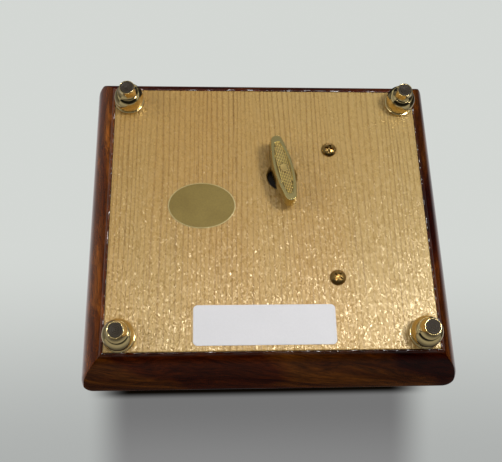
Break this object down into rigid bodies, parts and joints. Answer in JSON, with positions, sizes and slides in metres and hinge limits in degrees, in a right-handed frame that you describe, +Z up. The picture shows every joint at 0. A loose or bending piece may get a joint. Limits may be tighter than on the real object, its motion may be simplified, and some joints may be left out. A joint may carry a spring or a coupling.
{
  "type": "music box",
  "caption": "Small wooden musical box on turned brass feet, with a hinged inlaid lid, lined compartments and a wind-up pinned-cylinder movement.",
  "frame": {"origin": "middle of the box on the surface that it stands on, below the middle of its footprint", "axes": "+Z up towards the lid, +Y towards the front, hinges at the rear (-Y), +X towards the narrow compartment, which is on the left as seen from the front"},
  "size_m": [0.1212, 0.1092, 0.0545],
  "materials": {
    "case_veneer": "dark veneer under clear gloss lacquer",
    "plate_wood": "pale straight-grained wood with a thin satin lacquer",
    "foot_brass": "polished, turned",
    "foot_pad": "dark, with turning rings",
    "screw_brass": "dark antique",
    "gold_sticker": "dull gold foil",
    "label_paper": "white, matte",
    "key_brass": "stamped, satin, dotted recess",
    "gear_brass": "machined",
    "cylinder_brass": "smooth, polished",
    "arbor_steel": "turned",
    "bracket_steel": "stamped, plated",
    "spring_steel": "hardened, ground",
    "governor_plastic": "moulded",
    "divider_wood": "stained, satin",
    "clear_cover": "clear acrylic sheet",
    "red_lining": "short-pile flock",
    "inlay_wood": "pale veneer under clear gloss lacquer",
    "hinge_brass": "antique"
  },
  "bodies": {
    "case": {"case_wall_rear": "case_veneer", "case_wall_front": "case_veneer", "case_wall_right": "case_veneer", "case_wall_left": "case_veneer", "base_plate": "plate_wood", "foot_rear_right": "foot_brass", "foot_rear_left": "foot_brass", "foot_front_right": "foot_brass", "foot_front_left": "foot_brass", "foot_pad_rear_right": "foot_pad", "foot_pad_rear_left": "foot_pad", "foot_pad_front_right": "foot_pad", "foot_pad_front_left": "foot_pad", "movement_screw_rear": "screw_brass", "movement_screw_front": "screw_brass", "oval_sticker": "gold_sticker", "paper_label": "label_paper", "spring_drum": "cylinder_brass", "comb_screw_rear": "arbor_steel", "comb_screw_front": "arbor_steel", "movement_bedplate": "bracket_steel", "rear_bearing": "bracket_steel", "front_bearing": "bracket_steel", "governor_frame": "bracket_steel", "comb_base": "bracket_steel", "mainspring": "spring_steel", "comb": "spring_steel", "divider_right": "divider_wood", "divider_left": "divider_wood", "movement_cover": "clear_cover", "tray_right": "red_lining", "tray_left": "red_lining", "hinge_right_case_leaf": "hinge_brass", "hinge_right_pin": "hinge_brass", "hinge_left_case_leaf": "hinge_brass", "hinge_left_pin": "hinge_brass"},
    "lid": {"lid_board": "case_veneer", "lid_wall_rear": "case_veneer", "lid_wall_front": "case_veneer", "lid_wall_right": "case_veneer", "lid_wall_left": "case_veneer", "lid_border_inlay": "inlay_wood", "lid_medallion": "inlay_wood", "lid_lining": "red_lining", "hinge_right_lid_leaf": "hinge_brass", "hinge_left_lid_leaf": "hinge_brass"},
    "winding": {"winding_key": "key_brass", "winding_arbor": "arbor_steel", "crown_wheel": "gear_brass", "ratchet_wheel": "gear_brass", "ratchet_click": "arbor_steel"},
    "cylinder": {"pinned_cylinder": "cylinder_brass", "cylinder_arbor": "arbor_steel", "cylinder_pinion": "gear_brass", "cylinder_gear": "gear_brass"},
    "governor_wheel": {"governor_wheel": "governor_plastic"},
    "fan": {"worm": "arbor_steel", "air_fan": "governor_plastic"},
    "stop_rod": {"stop_rod": "arbor_steel"}
  },
  "joints": [
    {"name": "lid_hinge", "type": "hinge", "parent": "case", "child": "lid", "pos_m": [0, -0.05268, 0.04065], "axis": [1, 0, 0], "range_deg": [0, 105]},
    {"name": "stop_rod_slide", "type": "slide", "parent": "case", "child": "stop_rod", "axis": [0, 0, 1], "range_m": [0, 0.0024]},
    {"name": "key_turn", "type": "hinge", "parent": "case", "child": "winding", "pos_m": [0.0046, -0.0129, 0.0095], "axis": [0, 0, 1], "continuous": true},
    {"name": "cylinder_turn", "type": "hinge", "parent": "case", "child": "cylinder", "pos_m": [0.0046, 0.0029, 0.0238], "axis": [0, 1, 0], "continuous": true},
    {"name": "governor_turn", "type": "hinge", "parent": "case", "child": "governor_wheel", "pos_m": [-0.00326, 0.0234, 0.02931], "axis": [0, 1, 0], "continuous": true},
    {"name": "fan_turn", "type": "hinge", "parent": "case", "child": "fan", "pos_m": [-0.00896, 0.0234, 0.02931], "axis": [0, 0, 1], "continuous": true}
  ],
  "couplings": [
    {"joint": "stop_rod_slide", "follows": "lid_hinge", "m_per_rad": 0.0013},
    {"joint": "cylinder_turn", "follows": "key_turn", "ratio": -4},
    {"joint": "governor_turn", "follows": "key_turn", "ratio": 12},
    {"joint": "fan_turn", "follows": "key_turn", "ratio": -72}
  ]
}
